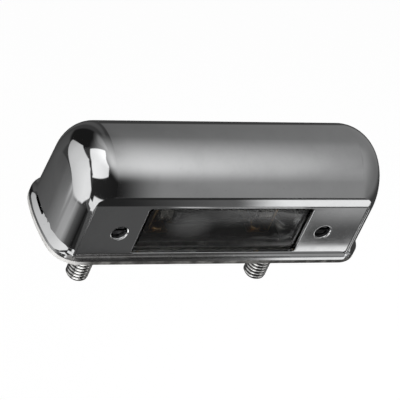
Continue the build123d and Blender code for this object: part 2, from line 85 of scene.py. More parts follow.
class Finish:
    """A material, or the room, in the making. Its nodes are added up to a last shader."""

    def __init__(self, name, store=bpy.data.materials):
        self.owner = store.new(name)
        self.owner.use_nodes = True
        self.tree = self.owner.node_tree
        self.tree.nodes.clear()

    def node(self, kind, settings, inputs, output=0):
        """Adds a node, sets it up, fills its sockets and gives back one output, if any."""
        made = self.tree.nodes.new("ShaderNode" + kind)
        for name, value in settings.items():
            setattr(made, name, value)
        for name, value in inputs.items():
            socket = made.inputs[name]
            if isinstance(value, Wire):
                self.tree.links.new(value.socket, socket)
            elif socket.type == "RGBA":
                socket.default_value = (*value, 1.0)
            else:
                socket.default_value = value
        return Wire(self, made.outputs[output]) if made.outputs else None

    def math(self, operation, first, second=0.0):
        """Adds a Math node on one or two values."""
        return self.node("Math", {"operation": operation}, {0: first, 1: second})

    def spot(self):
        """Where a point of the piece is, in metres."""
        return self.node("TexCoord", {}, {}, "Object")

    def axis(self, name):
        """One coordinate of a point of the piece, in metres."""
        return self.node("SeparateXYZ", {}, {0: self.spot()}, name)

    def noise(self, per_metre, detail=3.0, rough=0.55, stretch=(1.0, 1.0, 1.0)):
        """Cloudy noise between 0 and 1, drawn out along an axis whose stretch is small."""
        spot = self.node("VectorMath", {"operation": "MULTIPLY"}, {0: self.spot(), 1: stretch})
        sockets = {"Vector": spot, "Scale": per_metre, "Detail": detail, "Roughness": rough}
        return self.node("TexNoise", {}, sockets)

    def between(self, value, start, end):
        """0 where value is at start, 1 where it is at end, with a smooth step between."""
        sockets = {"Value": value, "From Min": start, "From Max": end}
        return self.node("MapRange", {"interpolation_type": "SMOOTHSTEP"}, sockets)

    def tint(self, amount, first, second):
        """Colour that goes from first to second as amount goes from 0 to 1."""
        # A Mix node's colours are its sockets 6 and 7, and the mixed colour is its output 2.
        return self.node("Mix", {"data_type": "RGBA"}, {0: amount, 6: first, 7: second}, 2)

    def bump(self, height, depth):
        """Surface normal with height, between 0 and 1, standing depth metres proud."""
        return self.node("Bump", {}, {"Strength": 1.0, "Distance": depth, "Height": height})

    def end(self, shader, output="OutputMaterial"):
        """Ends the nodes in a shader and gives back what they belong to."""
        self.node(output, {}, {"Surface": shader})
        return self.owner

    def surface(self, **sockets):
        """Ends the material in a Principled surface."""
        titles = [name.replace("_", " ").title().replace("Ior", "IOR") for name in sockets]
        return self.end(self.node("BsdfPrincipled", {}, dict(zip(titles, sockets.values()))))


def dress(material, *names):
    """Gives solids of the frame their finish."""
    for name in names:
        for slot in nodes[name].material_slots:
            slot.material = material


def plated_steel_finish(name, bright, dull, marks_per_metre):
    """Plated steel: clouded bright and dull areas, specks, and the sheet's rolling marks."""
    speck_grey = (0.34, 0.33, 0.31)
    along_lamp = (0.04, 1.0, 1.0)
    mark_depth = 0.02 * MM
    finish = Finish(name)
    clouds = finish.noise(per_metre=420.0, detail=4.0)
    rolled = finish.noise(marks_per_metre, detail=2.0, rough=0.5, stretch=along_lamp)
    specks = finish.between(finish.noise(per_metre=2600.0, detail=2.0), 0.62, 0.74)
    shade = finish.between(clouds, 0.3, 0.72)
    colour = finish.tint(shade, dull, bright)
    return finish.surface(
        base_color=finish.tint(specks * 0.5, colour, speck_grey),
        metallic=1.0,
        roughness=0.5 - shade * 0.16 + specks * 0.1 + rolled * 0.05,
        normal=finish.bump(rolled + clouds * 0.5, mark_depth),
    )


plate_zinc = plated_steel_finish(
    "zinc_plate",
    bright=(0.68, 0.67, 0.64),
    dull=(0.47, 0.47, 0.46),
    marks_per_metre=5200.0,
)
dress(plate_zinc, "base_plate", "board_rivets")

# Mounting studs: two M6 steel studs, cold headed and rolled, then zinc plated. Head and
# shoulder are pressed into the base plate, and the nuts behind the body panel draw on them.
stud_place = 26.0 * MM
thread_crest = 3.0 * MM
thread_root = 2.43 * MM
thread_pitch = 1.0 * MM


def set_piece(name, mesh, material, replaced):
    """Sets a finished mesh in place of a solid of the frame."""
    mesh.materials.clear()
    mesh.materials.append(material)
    piece = bpy.data.objects.new(name, mesh)
    bpy.context.scene.collection.objects.link(piece)
    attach(piece, "root")
    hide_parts(replaced)


def make_piece(name, vertices, faces, material, replaced):
    """Closes and smooths a new mesh and sets it in place of a solid of the frame."""
    weld = 1e-7
    sharp_edge = math.radians(35.0)
    mesh = bpy.data.meshes.new(name)
    mesh.from_pydata(vertices, [], faces)
    mesh.validate()
    shaped = bmesh.new()
    shaped.from_mesh(mesh)
    bmesh.ops.remove_doubles(shaped, verts=shaped.verts, dist=weld)
    bmesh.ops.dissolve_degenerate(shaped, edges=shaped.edges, dist=weld)
    bmesh.ops.recalc_face_normals(shaped, faces=shaped.faces)
    shaped.to_mesh(mesh)
    shaped.free()
    mesh.shade_smooth()
    mesh.set_sharp_from_angle(angle=sharp_edge)
    set_piece(name, mesh, material, replaced)


def threaded_stud(name, replaced, material):
    """A stud along Z with rolled thread, chamfered tip, shoulder and head, at a node's place."""
    crest_share = 0.4
    crest_sag = 0.025 * MM
    flank_share = 0.44
    runout = 0.6 * MM
    tip_radius = 2.3 * MM
    tip_length = 0.7 * MM
    shoulder_radius = 3.6 * MM
    shoulder_top = 2.6 * MM
    head_radius = 4.75 * MM
    head_rounding = 0.45 * MM
    rounding_steps = 6
    columns = 56
    rows_per_turn = 20
    low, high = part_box(replaced)
    centre = (low + high) / 2
    bottom = low.z

    def thread_radius(phase, z):
        """Radius at a place along one turn and a height, cut back at the tip and the run-out."""
        across = abs(2.0 * phase - 1.0)
        flank = min(max((across - crest_share) / flank_share, 0.0), 1.0)
        edge_radius = thread_crest - crest_sag * min(across / crest_share, 1.0) ** 2
        radius = edge_radius + (thread_root - edge_radius) * flank
        fade = min(max(-z / runout, 0.0), 1.0)
        radius = thread_crest + (radius - thread_crest) * fade
        return min(radius, tip_radius + (z - bottom) * (thread_crest - tip_radius) / tip_length)

    def spot(radius, column, z):
        """A point of one column of the mesh."""
        angle = 2.0 * math.pi * column / columns
        return centre.x + radius * math.cos(angle), centre.y + radius * math.sin(angle), z

    vertices = []
    faces = []
    spare_rows = rows_per_turn + 1
    row_count = int(-bottom / thread_pitch * rows_per_turn) + 2 * spare_rows + 1
    for column in range(columns + 1):
        for row in range(row_count):
            turn = (row - spare_rows) / rows_per_turn
            z = bottom + (turn + column / columns) * thread_pitch
            z = min(max(z, bottom), 0.0)
            vertices.append(spot(thread_radius(turn % 1.0, z), column, z))
            if column and row:
                here = column * row_count + row
                faces.append((here, here - 1, here - 1 - row_count, here - row_count))

    profile = [(thread_crest, 0.0), (shoulder_radius, 0.0), (shoulder_radius, shoulder_top)]
    profile.append((head_radius, shoulder_top))
    for step in range(rounding_steps + 1):
        swing = math.pi / 2.0 * step / rounding_steps
        out = head_radius - head_rounding * (1.0 - math.cos(swing))
        profile.append((out, high.z - head_rounding * (1.0 - math.sin(swing))))
    start = len(vertices)
    ring = len(profile)
    for column in range(columns + 1):
        vertices.extend(spot(radius, column, z) for radius, z in profile)
    for column in range(columns):
        for place in range(ring - 1):
            here = start + column * ring + place
            faces.append((here, here + ring, here + ring + 1, here + 1))
    faces.append(tuple(start + column * ring + ring - 1 for column in range(columns)))

    tip = len(vertices)
    vertices.append((centre.x, centre.y, bottom))
    for column in range(columns):
        here = column * row_count
        faces.append((tip, here + row_count, here))
    make_piece(name, vertices, faces, material, replaced)


def stud_zinc_finish(name):
    """Bright zinc on rolled steel, glossier on the crests, with painted shade near black in the
    thread roots.
    """
    painted_root_shade = (0.07, 0.068, 0.065)
    grey_zinc = (0.74, 0.74, 0.73)
    worn_zinc = (0.9, 0.895, 0.88)
    down_stud = (1.0, 1.0, 0.08)
    mark_depth = 0.01 * MM
    finish = Finish(name)
    offset = finish.math("ABSOLUTE", finish.axis("X")) - stud_place
    across = finish.axis("Y")
    radius = (offset * offset + across * across) ** 0.5
    # Painted shade: below the crests the thread is coloured near black.
    crest = finish.between(radius, 2.6 * MM, 2.96 * MM)
    clouds = finish.noise(per_metre=700.0, detail=4.0)
    drawn = finish.noise(per_metre=5000.0, detail=2.0, rough=0.5, stretch=down_stud)
    zinc = finish.tint(finish.between(clouds, 0.3, 0.7), grey_zinc, worn_zinc)
    return finish.surface(
        base_color=finish.tint(crest, painted_root_shade, zinc),
        metallic=1.0,
        roughness=0.34 - crest * 0.24 + clouds * 0.1,
        normal=finish.bump(drawn + clouds, mark_depth),
    )


bright_zinc = stud_zinc_finish("stud_zinc")
threaded_stud("mounting_stud_left", "stud_left", bright_zinc)
threaded_stud("mounting_stud_right", "stud_right", bright_zinc)

# Cable grommet: black moulded rubber, pulled into the plate's hole, where the supply wires
# pass through. Lens gasket: a thin black rubber frame punched from sheet.


def black_rubber_finish(name):
    """Black rubber with a dull bloom and the fine grain of the mould."""
    black = (0.014, 0.014, 0.015)
    bloomed = (0.045, 0.044, 0.042)
    grain_depth = 0.02 * MM
    finish = Finish(name)
    bloom = finish.between(finish.noise(per_metre=240.0, detail=4.0), 0.42, 0.78)
    grain = finish.noise(per_metre=5200.0)
    return finish.surface(
        base_color=finish.tint(bloom, black, bloomed),
        roughness=0.52 + bloom * 0.18 + grain * 0.12,
        specular_ior_level=0.42,
        normal=finish.bump(grain, grain_depth),
    )


dress(black_rubber_finish("black_rubber"), "cable_grommet", "lens_gasket")

# Insulator board: black vulcanised fibre, stamped from sheet and riveted to the plate. It
# keeps the two brass contacts clear of the steel.


def fibre_finish(name):
    """Pressed fibre with streaks along the sheet and a dry surface."""
    black = (0.022, 0.019, 0.018)
    brown = (0.05, 0.044, 0.04)
    fleck_brown = (0.1, 0.09, 0.08)
    along_sheet = (0.12, 1.0, 1.0)
    fibre_depth = 0.03 * MM
    finish = Finish(name)
    streaks = finish.noise(per_metre=900.0, detail=5.0, rough=0.6, stretch=along_sheet)
    flecks = finish.between(finish.noise(per_metre=3600.0, detail=2.0), 0.6, 0.72)
    colour = finish.tint(finish.between(streaks, 0.32, 0.68), black, brown)
    return finish.surface(
        base_color=finish.tint(flecks * 0.45, colour, fleck_brown),
        roughness=0.5 + streaks * 0.2,
        normal=finish.bump(streaks + flecks * 0.3, fibre_depth),
    )


dress(fibre_finish("pressed_fibre"), "insulator_board")

# Contacts, their rivets, washers and terminal screws: brass. The contacts are stamped strips
# that spring against the bulb's caps, and the supply wires go under the square washers.


def brass_finish(name):
    """Brass with a light brown tarnish and fine marks from rolling."""
    yellow = (0.46, 0.31, 0.15)
    tarnished = (0.2, 0.125, 0.06)
    along_strip = (0.05, 1.0, 1.0)
    mark_depth = 0.01 * MM
    finish = Finish(name)
    tarnish = finish.between(finish.noise(per_metre=520.0, detail=5.0, rough=0.6), 0.45, 0.75)
    marks = finish.noise(per_metre=6000.0, detail=2.0, rough=0.5, stretch=along_strip)
    return finish.surface(
        base_color=finish.tint(tarnish, yellow, tarnished),
        metallic=1.0,
        roughness=0.24 + tarnish * 0.24 + marks * 0.08,
        normal=finish.bump(marks, mark_depth),
    )


brass = brass_finish("rolled_brass")
dress(brass, "live_contact", "earth_contact", "contact_rivets")
dress(brass, "terminal_washers", "terminal_screws")

# Festoon bulb: a clear glass tube cemented into two nickel-plated caps, with a coiled tungsten
# wire along its axis. Its pointed caps sit in the contacts' holes.


def nickel_finish(name):
    """Thin nickel over brass, worn to yellow in places."""
    nickel = (0.5, 0.48, 0.44)
    bare_brass = (0.4, 0.3, 0.17)
    round_cap = (1.0, 0.1, 0.1)
    mark_depth = 0.01 * MM
    finish = Finish(name)
    worn = finish.between(finish.noise(per_metre=800.0, detail=4.0), 0.55, 0.75)
    marks = finish.noise(per_metre=4200.0, detail=2.0, rough=0.5, stretch=round_cap)
    return finish.surface(
        base_color=finish.tint(worn * 0.6, nickel, bare_brass),
        metallic=1.0,
        roughness=0.22 + worn * 0.18 + marks * 0.08,
        normal=finish.bump(marks, mark_depth),
    )


def bulb_glass_finish(name):
    """Clear soda glass with a faint smoke towards the ends."""
    clear = (1.0, 1.0, 1.0)
    smoky = (0.72, 0.71, 0.7)
    finish = Finish(name)
    from_middle = finish.math("ABSOLUTE", finish.axis("X"))
    smoke = finish.between(from_middle, 6.0 * MM, 13.0 * MM) * finish.noise(per_metre=300.0)
    return finish.surface(
        base_color=finish.tint(smoke, clear, smoky),
        roughness=0.01 + smoke * 0.04,
        ior=1.51,
        transmission_weight=1.0,
    )


def tungsten_finish(name):
    """Grey drawn wire, a little blue where it has been hot."""
    grey = (0.3, 0.3, 0.31)
    blued = (0.2, 0.22, 0.28)
    finish = Finish(name)
    heat = finish.noise(per_metre=1500.0, detail=2.0)
    return finish.surface(
        base_color=finish.tint(heat, grey, blued),
        metallic=1.0,
        roughness=0.34 + heat * 0.15,
    )


def coiled_wire(name, replaced, material):
    """One drawn wire: straight leads from both caps and a close coil in the middle."""
    wire_radius = 0.11 * MM
    wire_sides = 7
    coil_radius = 0.6 * MM - wire_radius
    coil_half = 4.5 * MM
    coil_turns = 20
    steps_per_turn = 18
    aside = Vector((0.0, 0.6, 0.8))
    low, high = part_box(replaced)
    middle = (low + high) / 2
    lead_from = coil_half + coil_radius
    lead_to = high.x - middle.x

    path = [Vector((-lead_to, 0.0, 0.0)), Vector((-lead_from, 0.0, 0.0))]
    coil_steps = coil_turns * steps_per_turn
    for step in range(coil_steps + 1):
        angle = 2.0 * math.pi * step / steps_per_turn
        opened = min(1.0, step / steps_per_turn, (coil_steps - step) / steps_per_turn)
        radius = coil_radius * opened
        along = -coil_half + 2.0 * coil_half * step / coil_steps
        path.append(Vector((along, radius * math.cos(angle), radius * math.sin(angle))))
    path += [Vector((lead_from, 0.0, 0.0)), Vector((lead_to, 0.0, 0.0))]

    vertices = []
    faces = []
    for place, spot in enumerate(path):
        before = path[max(place - 1, 0)]
        after = path[min(place + 1, len(path) - 1)]
        heading = (after - before).normalized()
        across = heading.cross(aside).normalized()
        raised = across.cross(heading)
        for side in range(wire_sides):
            angle = 2.0 * math.pi * side / wire_sides
            corner = spot + (across * math.cos(angle) + raised * math.sin(angle)) * wire_radius
            vertices.append(middle + corner)
            if place:
                here = place * wire_sides + side
                beside = place * wire_sides + (side + 1) % wire_sides
                faces.append((here, beside, beside - wire_sides, here - wire_sides))
    faces.append(tuple(range(wire_sides)))
    faces.append(tuple(range(len(vertices) - wire_sides, len(vertices))))
    make_piece(name, vertices, faces, material, replaced)


dress(nickel_finish("cap_nickel"), "bulb_cap_left", "bulb_cap_right")
dress(bulb_glass_finish("bulb_glass"), "bulb_glass")
coiled_wire("filament_coil", "bulb_filament", tungsten_finish("tungsten_wire"))

# Lens: one flat pane moulded in clear plastic with an ear round each screw collar. It is
# clamped behind the window between its gasket and the plate's lugs.


def clear_plastic_finish(name):
    """Clear moulded plastic, a little smoky, with faint flow marks and fine scratches."""
    smoky = (0.57, 0.58, 0.58)
    paler = (0.65, 0.65, 0.65)
    along_flow = (0.5, 1.0, 1.0)
    along_pane = (0.2, 1.0, 1.0)
    flow_depth = 0.02 * MM
    finish = Finish(name)
    flow = finish.noise(per_metre=160.0, detail=2.0, rough=0.4, stretch=along_flow)
    scratches = finish.noise(per_metre=3000.0, rough=0.6, stretch=along_pane)
    return finish.surface(
        base_color=finish.tint(flow, smoky, paler),
        roughness=0.015 + finish.between(scratches, 0.58, 0.7) * 0.05,
        ior=1.49,
        transmission_weight=1.0,
        normal=finish.bump(flow, flow_depth),
    )


dress(clear_plastic_finish("clear_plastic"), "lens")

# Hood: one steel pressing with a round back and a recessed front panel, polished and then
# chromed. Its flared foot rests on the base gasket, and two screws pin it to the lugs.


def chrome_finish(name):
    """Bright chrome with faint polishing lines, a film of dust, and painted shade on the left of
    the ledge.
    """
    bright = (0.74, 0.745, 0.75)
    filmed = (0.69, 0.695, 0.7)
    dust_grey = (0.4, 0.4, 0.4)
    painted_shade_black = (0.13, 0.125, 0.12)
    along_lamp = (0.015, 1.0, 1.0)
    finish = Finish(name)
    film = finish.between(finish.noise(per_metre=120.0, detail=4.0, rough=0.6), 0.4, 0.75)
    lines = finish.noise(per_metre=7000.0, detail=2.0, rough=0.5, stretch=along_lamp)
    dust = finish.between(finish.noise(per_metre=3800.0, detail=1.0, rough=0.4), 0.72, 0.78)
    # Painted shade: the ledge under the panel is darkened from its middle to its left end,
    # standing in for the dark reflection there.
    ledge = finish.between(finish.axis("Z"), 3.0 * MM, 2.5 * MM)
    ledge = ledge * finish.between(finish.axis("Y"), -14.5 * MM, -14.8 * MM)
    painted_shade = ledge * finish.between(finish.axis("X"), 24.0 * MM, -6.0 * MM)
    painted_shade = painted_shade * (0.65 + finish.noise(per_metre=900.0, detail=4.0) * 0.35)
    clean = finish.tint(film, bright, filmed)
    dusted = finish.tint(dust * 0.35, clean, dust_grey)
    return finish.surface(
        base_color=finish.tint(painted_shade, dusted, painted_shade_black),
        metallic=1.0,
        roughness=0.035 + film * 0.03 + lines * 0.02 + dust * 0.15 + painted_shade * 0.25,
    )


# The hood's forms, in millimetres: an arched section meets bowed ends in a wide rounding, the
# cove and the small roundings are parts of cylinders, and the foot flares out in a wide curve.
hood_half = 43.7
end_bow = 50.0
end_radius = 8.7
dome_radius = 14.2
dome_axis = Vector((-2.2, 17.5))
rear_draft = math.radians(5.2)
flare_radius = 4.5
flare_axis_height = 4.948
flange_width = 1.1
panel_y = -14.672
panel_foot_radius = 0.7
ledge_height = 2.0
cove_radius = 17.084
cove_axis = Vector((panel_y - cove_radius, 18.862))
crease_radius = 0.4
ridge_radius = 0.5
recess_corner_radius = 0.6
recess_half = 39.2
corner_axis = Vector((recess_half - recess_corner_radius, panel_y - recess_corner_radius))
foot_axis = Vector((panel_y - panel_foot_radius, ledge_height + panel_foot_radius))
core_radius = dome_radius - end_radius
end_run = math.sqrt((end_bow - end_radius) ** 2 - core_radius**2)
end_axis = Vector((hood_half - end_bow + end_run, dome_axis.x - core_radius))


def touching_axis(outer, outer_radius, cut, cut_radius, radius, turn):
    """Axis of the small cylinder that rounds the edge between a round body and a round cut."""
    way = cut - outer
    near = outer_radius - radius
    far = cut_radius + radius
    swing = math.acos((near**2 + way.length_squared - far**2) / (2.0 * near * way.length))
    return outer + Matrix.Rotation(turn * swing, 2) @ way.normalized() * near


crease_axis = touching_axis(
    dome_axis, dome_radius, cove_axis, cove_radius, crease_radius, turn=-1
)
ridge_axis = touching_axis(
    end_axis, end_radius, corner_axis, recess_corner_radius, ridge_radius, turn=1
)


def arched_section(spot):
    """Outward direction of the arch along the lamp, and how far a spot is outside it."""
    from_axis = Vector((0.0, spot.y - dome_axis.x, spot.z - dome_axis.y))
    down = Vector((0.0, math.sin(rear_draft), -math.cos(rear_draft)))
    if from_axis.y < 0.0 and from_axis.z < 0.0:
        way = Vector((0.0, -1.0, 0.0))
    elif from_axis.dot(down) > 0.0:
        way = Vector((0.0, math.cos(rear_draft), math.sin(rear_draft)))
    else:
        way = from_axis.normalized()
    return way, from_axis.dot(way) - dome_radius


def bowed_end(spot):
    """Outward direction of the nearer bowed end, and how far a spot is outside it."""
    way = Vector((abs(spot.x) - hood_half + end_bow, spot.y - dome_axis.x, 0.0))
    off = way.length - end_bow
    way.x = math.copysign(way.x, spot.x)
    return way.normalized(), off


def skin(spot):
    """Outward direction of the hood's outer skin at a spot, and how far the spot is off it."""
    arch, arch_off = arched_section(spot)
    end, end_off = bowed_end(spot)
    if bowed_end(spot - arch * (arch_off + end_radius))[1] < -end_radius:
        return arch, arch_off
    if arched_section(spot - end * (end_off + end_radius))[1] < -end_radius:
        return end, end_off
    middle = spot.copy()
    closing_steps = 4
    for _ in range(closing_steps):
        arch, arch_off = arched_section(middle)
        end, end_off = bowed_end(middle)
        lean = arch.dot(end)
        arch_step = arch_off + end_radius - lean * (end_off + end_radius)
        end_step = end_off + end_radius - lean * (arch_off + end_radius)
        middle -= (arch * arch_step + end * end_step) / (1.0 - lean * lean)
    way = spot - middle
    return way.normalized(), way.length - end_radius


def lengthwise(axis, radius, hollow):
    """A cylinder along the lamp. A hollow one is seen from inside."""

    def surface(spot):
        """Direction of the surface at a spot, and how far the spot is off it."""
        way = Vector((0.0, spot.y - axis.x, spot.z - axis.y))
        return (-way if hollow else way).normalized(), way.length - radius

    return surface


def upright(axis, radius, hollow):
    """A pair of upright cylinders, one near each end of the lamp."""

    def surface(spot):
        """Direction of the surface at a spot, and how far the spot is off it."""
        way = Vector((spot.x - math.copysign(axis.x, spot.x), spot.y - axis.y, 0.0))
        return (-way if hollow else way).normalized(), way.length - radius

    return surface


def flare(spot):
    """The foot's wide curve, hollow in section. Faces count as on it from further off."""
    slack = 8.0
    outward, off = skin(spot)
    rise = min(max((flare_axis_height - spot.z) / flare_radius, 0.0), 1.0)
    run = math.sqrt(1.0 - rise * rise)
    flat = Vector((outward.x, outward.y, 0.0)).normalized() * run
    return flat + Vector((0.0, 0.0, rise)), (off - flare_radius * (1.0 - run)) / slack


def rim(spot):
    """The upright edge of the flared foot. Faces count as on it from further off."""
    slack = 4.0
    outward, off = skin(spot)
    return Vector((outward.x, outward.y, 0.0)).normalized(), (off - flange_width) / slack


hood_surfaces = [
    skin,
    lengthwise(cove_axis, cove_radius, hollow=True),
    lengthwise(crease_axis, crease_radius, hollow=False),
    lengthwise(foot_axis, panel_foot_radius, hollow=True),
    upright(ridge_axis, ridge_radius, hollow=False),
    upright(corner_axis, recess_corner_radius, hollow=True),
    flare,
    rim,
]


def polished_hood(name, replaced, material):
    """The hood's mesh with the exact surface directions that a mirror finish needs."""
    weld = 1e-6
    sharp_edge = math.radians(28.0)
    close = 0.04
    same_way = math.cos(math.radians(12.0))
    along_axis = 0.99995
    mesh = nodes[replaced].data.copy()
    mesh.name = name
    shaped = bmesh.new()
    shaped.from_mesh(mesh)
    bmesh.ops.remove_doubles(shaped, verts=shaped.verts, dist=weld)
    shaped.to_mesh(mesh)
    shaped.free()
    mesh.shade_smooth()
    mesh.set_sharp_from_angle(angle=sharp_edge)
    directions = [Vector((0.0, 0.0, 0.0))] * len(mesh.loops)
    for face in mesh.polygons:
        middle = face.center / MM
        for surface in hood_surfaces:
            way, off = surface(middle)
            if abs(off) < close and way.dot(face.normal) > same_way:
                for loop in face.loop_indices:
                    corner = mesh.vertices[mesh.loops[loop].vertex_index].co / MM
                    directions[loop] = surface(corner)[0]
                break
        else:
            if max(abs(part) for part in face.normal) > along_axis:
                for loop in face.loop_indices:
                    directions[loop] = face.normal.copy()
    mesh.normals_split_custom_set(directions)
    set_piece(name, mesh, material, replaced)


polished_hood("chromed_hood", "hood", chrome_finish("bright_chrome"))

# Hood screws: two slotted grub screws of blackened steel, driven through the hood's collars
# into the lugs and left a little below the panel.
screw_black = plated_steel_finish(
    "blackened_steel",
    bright=(0.075, 0.075, 0.078),
    dull=(0.03, 0.03, 0.032),
    marks_per_metre=3000.0,
)
dress(screw_black, "hood_screws")

# Base gasket: a pale flat sheet of rubber, punched to the outline of the hood's foot, with
# holes for the studs and the grommet. It seals the lamp against the car body.


def pale_rubber_finish(name):
    """Pale sheet rubber, a little soiled, with painted shade along the front and a grainy cut
    edge.
    """
    pale = (0.74, 0.735, 0.72)
    soiled = (0.52, 0.51, 0.49)
    painted_shade_black = (0.035, 0.034, 0.032)
    painted_shade_grey = (0.2, 0.195, 0.185)
    along_sheet = (1.0, 1.0, 0.4)
    grain_depth = 0.04 * MM
    finish = Finish(name)
    soil = finish.between(finish.noise(per_metre=340.0, detail=6.0, rough=0.6), 0.35, 0.72)
    grain = finish.noise(per_metre=4500.0, rough=0.6, stretch=along_sheet)
    # Painted shade: the front edge is darkened, with lighter patches, all along except at the
    # left end.
    front = finish.between(finish.axis("Y"), -13.6 * MM, -14.6 * MM)
    front = front * finish.between(finish.axis("X"), -41.0 * MM, -33.0 * MM)
    sheet = finish.tint(soil, pale, soiled)
    painted_shade = finish.tint(soil, painted_shade_black, painted_shade_grey)
    return finish.surface(
        base_color=finish.tint(front, sheet, painted_shade),
        roughness=0.62 + grain * 0.2,
        specular_ior_level=0.35,
        normal=finish.bump(grain + soil * 0.5, grain_depth),
    )


dress(pale_rubber_finish("pale_rubber"), "base_gasket")

# Light tent round the lamp: a thin white skin that glows where cards and softboxes stand
# behind it and stays dark behind the flags. The lamp mirrors it, and the camera doesn't see it.
tent_centre = Vector((0.0, -0.002, 0.015))
tent_radius = 0.35
tent_columns = 480
tent_rows = 240
tent_base = 0.05
brightest = 2.0

# Each light is a four-sided patch of the tent. Azimuth is 0 in front of the lens and 90 at the
# lamp's right end. A patch's edges are elevations, given with its glow at its left and right.
tent_lights = [
    # azimuth from and to, lower edge, upper edge, glow, softness in degrees
    (-58.0, 28.0, (-80.0, -80.0), (60.0, 60.0), (0.024, 0.012), 6.0),
    (24.0, 76.0, (-80.0, -80.0), (-30.0, -30.0), (0.02, 0.02), 6.0),
    (166.0, 176.0, (-50.0, -50.0), (50.0, 50.0), (0.09, 0.09), 6.0),
    (-172.0, -118.0, (-12.0, -12.0), (32.0, 62.0), (0.012, 0.012), 6.0),
    (-172.0, -138.0, (40.0, 62.0), (84.0, 84.0), (0.2, 0.14), 14.0),
    (-113.0, -81.0, (41.0, 33.0), (80.0, 80.0), (1.0, 1.1), 2.5),
    (-84.0, -60.0, (34.5, 16.0), (80.0, 77.0), (1.1, 1.15), 2.5),
    (-63.0, -16.0, (14.0, 40.0), (78.0, 60.0), (1.15, 1.0), 2.5),
    (-176.0, -148.0, (-70.0, -70.0), (-14.0, -14.0), (0.065, 0.1), 6.0),
    (-152.0, -134.0, (-70.0, -70.0), (-35.0, -35.0), (0.1, 0.14), 5.0),
    (-138.0, -114.0, (-70.0, -70.0), (-35.0, -35.0), (0.13, 0.42), 5.0),
    (-117.0, -91.0, (-70.0, -70.0), (-34.0, -34.0), (0.41, 0.46), 5.0),
    (-95.0, -75.0, (-70.0, -70.0), (-33.0, -33.0), (0.46, 0.09), 5.0),
    (-78.0, -54.0, (-70.0, -70.0), (-32.0, -32.0), (0.115, 0.0), 4.0),
    (-148.0, -125.0, (-9.0, -37.0), (-5.0, 23.0), (0.45, 0.7), 2.5),
    (-127.0, -89.0, (-35.5, -32.0), (21.5, 29.5), (0.68, 0.9), 2.5),
    (-92.0, -73.5, (-32.3, -30.0), (29.5, 20.0), (0.88, 1.0), 2.5),
    (-76.0, -57.0, (-31.0, -17.0), (22.5, -4.0), (0.98, 0.98), 2.5),
    (-46.0, 20.0, (-32.0, -33.0), (-8.0, -2.0), (1.0, 1.0), 2.5),
]


def step_up(value, edge, soft):
    """0 well below an edge, 1 well above it, with a smooth step as wide as soft."""
    share = min(max((value - edge) / soft + 0.5, 0.0), 1.0)
    return share * share * (3.0 - 2.0 * share)


def tent_glow(azimuth, elevation):
    """How bright the tent is in one direction."""
    glow = tent_base
    for start, end, lower, upper, level, soft in tent_lights:
        share = min(max((azimuth - start) / (end - start), 0.0), 1.0)
        ends = (lower, upper, level)
        bottom, top, light = (left + (right - left) * share for left, right in ends)
        inside = step_up(azimuth, start, soft) * (1.0 - step_up(azimuth, end, soft))
        inside *= step_up(elevation, bottom, soft) * (1.0 - step_up(elevation, top, soft))
        glow += (light - glow) * inside
    return glow


def glow_shader(finish, level):
    """Light given off at a level that changes over a sheet."""
    colour = finish.tint(level / brightest, (0.0, 0.0, 0.0), (brightest, brightest, brightest))
    return finish.node("Emission", {}, {"Color": colour})


def tent_finish(name):
    """Glow painted on the tent's skin."""
    finish = Finish(name)
    level = finish.node("Attribute", {"attribute_name": "glow"}, {}, "Fac")
    return finish.end(glow_shader(finish, level))


def put_up(name, vertices, faces, material, seen=False):
    """Puts up a sheet of the studio. One that isn't seen throws no shadow either."""
    mesh = bpy.data.meshes.new(name)
    mesh.from_pydata(vertices, [], faces)
    mesh.materials.append(material)
    sheet = bpy.data.objects.new(name, mesh)
    bpy.context.scene.collection.objects.link(sheet)
    sheet.visible_camera = seen
    sheet.visible_shadow = seen
    return mesh


tent_vertices = []
tent_faces = []
tent_levels = []
for row in range(tent_rows + 1):
    elevation = -90.0 + 180.0 * row / tent_rows
    for column in range(tent_columns + 1):
        azimuth = -180.0 + 360.0 * column / tent_columns
        flat = math.cos(math.radians(elevation))
        ray = Vector((
            flat * math.sin(math.radians(azimuth)),
            -flat * math.cos(math.radians(azimuth)),
            math.sin(math.radians(elevation)),
        ))
        tent_vertices.append(tent_centre + ray * tent_radius)
        tent_levels.append(tent_glow(azimuth, elevation))
        if row and column:
            here = row * (tent_columns + 1) + column
            below = here - tent_columns - 1
            tent_faces.append((here, here - 1, below - 1, below))
tent_mesh = put_up("light_tent", tent_vertices, tent_faces, tent_finish("tent_glow"))
tent_mesh.attributes.new("glow", "FLOAT", "POINT").data.foreach_set("value", tent_levels)

# Glow cards inside the tent: a round softbox overhead, a scrim at the right end and a card
# under the lamp, which are clear sheets that only add light, and a small white card in front
# of the foot's left corner. The camera doesn't see them.
overhead_height = 0.18
scrim_place = 0.1
under_height = -0.1
card_half = 0.3
corner_card_white = (0.95, 0.95, 0.95)
corner_card_place = -0.035
corner_card_spots = [(-0.068, 0.001), (-0.03, 0.001), (-0.03, 0.0095), (-0.068, 0.0095)]
one_face = [(0, 1, 2, 3)]


def square(half):
    """Corners of a square round a middle."""
    return [(-half, -half), (half, -half), (half, half), (-half, half)]


def oval(place, middle, half):
    """Distance from the middle of an oval, 1 at its edge."""
    first, second = ((at - centre) / width for at, centre, width in zip(place, middle, half))
    return (first * first + second * second) ** 0.5


def overhead_glow(finish):
    """Fades from the middle, flagged at the front left and shaded for the dome's right end."""
    x, y = finish.axis("X"), finish.axis("Y")
    brightness = 1.05
    shade = 0.2
    distance = oval((x, y), middle=(-0.0146, -0.0823), half=(0.262, 0.2645))
    inside = 1.0 - finish.math("MINIMUM", distance, 1.0)
    flag = finish.between(y + x * 0.886, -0.193, -0.021)
    right_end = finish.between(x + y * 0.2, 0.088, 0.134)
    right_end = right_end * (1.0 - finish.between(finish.math("ABSOLUTE", y + 0.065), 0.0, 0.13))
    return inside * inside * flag * brightness - right_end * shade


